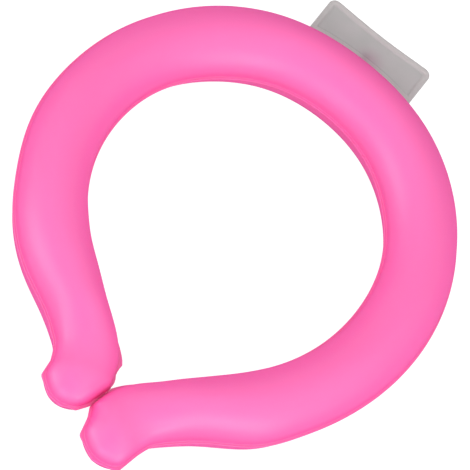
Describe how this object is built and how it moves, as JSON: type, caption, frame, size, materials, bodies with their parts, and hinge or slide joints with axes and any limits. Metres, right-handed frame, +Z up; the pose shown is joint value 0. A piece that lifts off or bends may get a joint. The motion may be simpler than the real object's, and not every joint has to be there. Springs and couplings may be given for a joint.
{
  "type": "cooling neck ring",
  "caption": "Soft coolant-filled tube ring worn round the neck, open at the throat where two knobbed ends meet, with a frosted tab at the nape.",
  "frame": {"origin": "middle of the footprint, on the surface that the ring lies on", "axes": "+Y points to the nape and its tab, -Y to the throat where the two ends meet, +Z points up from the surface"},
  "size_m": [0.1666, 0.2286, 0.0272],
  "materials": {
    "skin": "hot pink soft plastic film, satin",
    "coolant": "sealed liquid or gel coolant, not seen",
    "tab": "frosted translucent grey plastic"
  },
  "bodies": {
    "root": {"upper_skin": "skin", "lower_skin": "skin", "coolant_fill": "coolant", "nape_tab": "tab", "fill_neck": "skin"}
  },
  "joints": []
}
